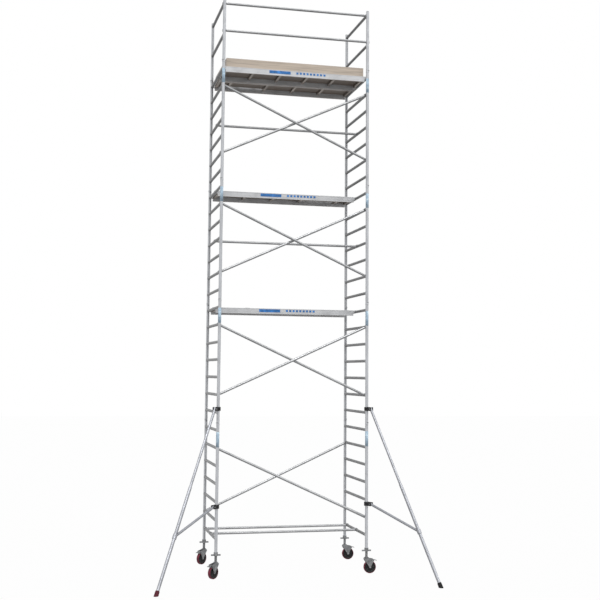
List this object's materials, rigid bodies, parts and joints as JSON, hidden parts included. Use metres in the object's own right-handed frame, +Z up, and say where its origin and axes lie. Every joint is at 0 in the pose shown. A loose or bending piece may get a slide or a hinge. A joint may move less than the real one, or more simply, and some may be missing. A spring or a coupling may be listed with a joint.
{
  "type": "mobile scaffold tower",
  "caption": "Mobile aluminium scaffold tower of stacked ladder frames with hooked braces, plywood platforms, guard rails, outriggers and braked castors on jack legs.",
  "frame": {"origin": "on the ground, midway between the four legs", "axes": "+Z up, +X along the bay to the right, -Y towards the side with the outriggers"},
  "size_m": [4.3305, 2.7248, 9.31],
  "materials": {
    "aluminium_tube": "satin extruded tube",
    "aluminium_brace": "satin extruded tube",
    "aluminium_beam": "satin extruded beam",
    "plywood": "phenolic faced plywood",
    "toe_board_wood": "varnished board",
    "zinc_steel": "zinc plated",
    "pedal_steel": "dark painted",
    "spring_steel": "bright wire",
    "red_tyre": "dark red tread on a black core",
    "black_casting": "black coated casting",
    "foot_rubber": "matt rubber"
  },
  "bodies": {
    "tower": {"ladder_frame_left_1": "aluminium_tube", "ladder_frame_left_2": "aluminium_tube", "ladder_frame_left_3": "aluminium_tube", "ladder_frame_left_4": "aluminium_tube", "guard_frame_left": "aluminium_tube", "ladder_frame_right_1": "aluminium_tube", "ladder_frame_right_2": "aluminium_tube", "ladder_frame_right_3": "aluminium_tube", "ladder_frame_right_4": "aluminium_tube", "guard_frame_right": "aluminium_tube", "spring_clips": "spring_steel", "platform_frame_low": "aluminium_beam", "deck_low": "plywood", "platform_frame_middle": "aluminium_beam", "deck_middle": "plywood", "platform_frame_top_front": "aluminium_beam", "deck_top_front": "plywood", "platform_frame_top_rear": "aluminium_beam", "deck_top_rear": "plywood", "toe_boards": "toe_board_wood", "diagonal_braces_1": "aluminium_brace", "diagonal_braces_2": "aluminium_brace", "diagonal_braces_3": "aluminium_brace", "diagonal_braces_4": "aluminium_brace", "handrails": "aluminium_brace", "base_braces": "aluminium_brace", "guard_rails": "aluminium_brace"},
    "leg_front_left": {"jack_leg_front_left": "zinc_steel", "wing_nut_front_left": "zinc_steel"},
    "castor_front_left": {"castor_fork_front_left": "zinc_steel"},
    "wheel_front_left": {"wheel_front_left": "red_tyre"},
    "pedal_front_left": {"brake_pedal_front_left": "pedal_steel"},
    "leg_front_right": {"jack_leg_front_right": "zinc_steel", "wing_nut_front_right": "zinc_steel"},
    "castor_front_right": {"castor_fork_front_right": "zinc_steel"},
    "wheel_front_right": {"wheel_front_right": "red_tyre"},
    "pedal_front_right": {"brake_pedal_front_right": "pedal_steel"},
    "leg_rear_left": {"jack_leg_rear_left": "zinc_steel", "wing_nut_rear_left": "zinc_steel"},
    "castor_rear_left": {"castor_fork_rear_left": "zinc_steel"},
    "wheel_rear_left": {"wheel_rear_left": "red_tyre"},
    "pedal_rear_left": {"brake_pedal_rear_left": "pedal_steel"},
    "leg_rear_right": {"jack_leg_rear_right": "zinc_steel", "wing_nut_rear_right": "zinc_steel"},
    "castor_rear_right": {"castor_fork_rear_right": "zinc_steel"},
    "wheel_rear_right": {"wheel_rear_right": "red_tyre"},
    "pedal_rear_right": {"brake_pedal_rear_right": "pedal_steel"},
    "outrigger_left": {"outrigger_clamps_left": "black_casting", "outrigger_upper_leg_left": "aluminium_tube", "outrigger_arm_left": "aluminium_tube"},
    "outrigger_leg_left": {"outrigger_lower_leg_left": "aluminium_tube", "outrigger_foot_left": "foot_rubber"},
    "outrigger_right": {"outrigger_clamps_right": "black_casting", "outrigger_upper_leg_right": "aluminium_tube", "outrigger_arm_right": "aluminium_tube"},
    "outrigger_leg_right": {"outrigger_lower_leg_right": "aluminium_tube", "outrigger_foot_right": "foot_rubber"},
    "hatch_low": {"hatch_low": "plywood"},
    "hatch_middle": {"hatch_middle": "plywood"},
    "hatch_top": {"hatch_top": "plywood"}
  },
  "joints": [
    {"name": "leg_slide_front_left", "type": "slide", "parent": "tower", "child": "leg_front_left", "axis": [0, 0, -1], "range_m": [0, 0.2]},
    {"name": "castor_swivel_front_left", "type": "hinge", "parent": "leg_front_left", "child": "castor_front_left", "pos_m": [-1.225, -0.65, 0.24], "axis": [0, 0, 1], "continuous": true},
    {"name": "wheel_spin_front_left", "type": "hinge", "parent": "castor_front_left", "child": "wheel_front_left", "pos_m": [-1.26774, -0.68461, 0.1], "axis": [0.6293, -0.7771, 0], "continuous": true},
    {"name": "pedal_lift_front_left", "type": "hinge", "parent": "castor_front_left", "child": "pedal_front_left", "pos_m": [-1.3066, -0.71608, 0.215], "axis": [-0.6293, 0.7771, 0], "range_deg": [0, 18]},
    {"name": "leg_slide_front_right", "type": "slide", "parent": "tower", "child": "leg_front_right", "axis": [0, 0, -1], "range_m": [0, 0.2]},
    {"name": "castor_swivel_front_right", "type": "hinge", "parent": "leg_front_right", "child": "castor_front_right", "pos_m": [1.225, -0.65, 0.24], "axis": [0, 0, 1], "continuous": true},
    {"name": "wheel_spin_front_right", "type": "hinge", "parent": "castor_front_right", "child": "wheel_front_right", "pos_m": [1.28, -0.65, 0.1], "axis": [0, 1, 0], "continuous": true},
    {"name": "pedal_lift_front_right", "type": "hinge", "parent": "castor_front_right", "child": "pedal_front_right", "pos_m": [1.33, -0.65, 0.215], "axis": [0, -1, 0], "range_deg": [0, 18]},
    {"name": "leg_slide_rear_left", "type": "slide", "parent": "tower", "child": "leg_rear_left", "axis": [0, 0, -1], "range_m": [0, 0.2]},
    {"name": "castor_swivel_rear_left", "type": "hinge", "parent": "leg_rear_left", "child": "castor_rear_left", "pos_m": [-1.225, 0.65, 0.24], "axis": [0, 0, 1], "continuous": true},
    {"name": "wheel_spin_rear_left", "type": "hinge", "parent": "castor_rear_left", "child": "wheel_rear_left", "pos_m": [-1.26774, 0.61539, 0.1], "axis": [0.6293, -0.7771, 0], "continuous": true},
    {"name": "pedal_lift_rear_left", "type": "hinge", "parent": "castor_rear_left", "child": "pedal_rear_left", "pos_m": [-1.3066, 0.58392, 0.215], "axis": [-0.6293, 0.7771, 0], "range_deg": [0, 18]},
    {"name": "leg_slide_rear_right", "type": "slide", "parent": "tower", "child": "leg_rear_right", "axis": [0, 0, -1], "range_m": [0, 0.2]},
    {"name": "castor_swivel_rear_right", "type": "hinge", "parent": "leg_rear_right", "child": "castor_rear_right", "pos_m": [1.225, 0.65, 0.24], "axis": [0, 0, 1], "continuous": true},
    {"name": "wheel_spin_rear_right", "type": "hinge", "parent": "castor_rear_right", "child": "wheel_rear_right", "pos_m": [1.28, 0.65, 0.1], "axis": [0, 1, 0], "continuous": true},
    {"name": "pedal_lift_rear_right", "type": "hinge", "parent": "castor_rear_right", "child": "pedal_rear_right", "pos_m": [1.33, 0.65, 0.215], "axis": [0, -1, 0], "range_deg": [0, 18]},
    {"name": "outrigger_swing_left", "type": "hinge", "parent": "tower", "child": "outrigger_left", "pos_m": [-1.225, -0.65, 1.1], "axis": [0, 0, 1], "range_deg": [-40, 40]},
    {"name": "outrigger_extend_left", "type": "slide", "parent": "outrigger_left", "child": "outrigger_leg_left", "axis": [-0.3237, -0.3595, -0.8752], "range_m": [0, 0.3]},
    {"name": "outrigger_swing_right", "type": "hinge", "parent": "tower", "child": "outrigger_right", "pos_m": [1.225, -0.65, 1.1], "axis": [0, 0, 1], "range_deg": [-40, 40]},
    {"name": "outrigger_extend_right", "type": "slide", "parent": "outrigger_right", "child": "outrigger_leg_right", "axis": [0.2419, -0.4189, -0.8752], "range_m": [0, 0.3]},
    {"name": "hatch_lift_low", "type": "hinge", "parent": "tower", "child": "hatch_low", "pos_m": [0, 0.557, 4.2755], "axis": [-1, 0, 0], "range_deg": [0, 100]},
    {"name": "hatch_lift_middle", "type": "hinge", "parent": "tower", "child": "hatch_middle", "pos_m": [0, 0.557, 6.2355], "axis": [-1, 0, 0], "range_deg": [0, 100]},
    {"name": "hatch_lift_top", "type": "hinge", "parent": "tower", "child": "hatch_top", "pos_m": [0, 0.557, 8.1955], "axis": [-1, 0, 0], "range_deg": [0, 100]}
  ]
}
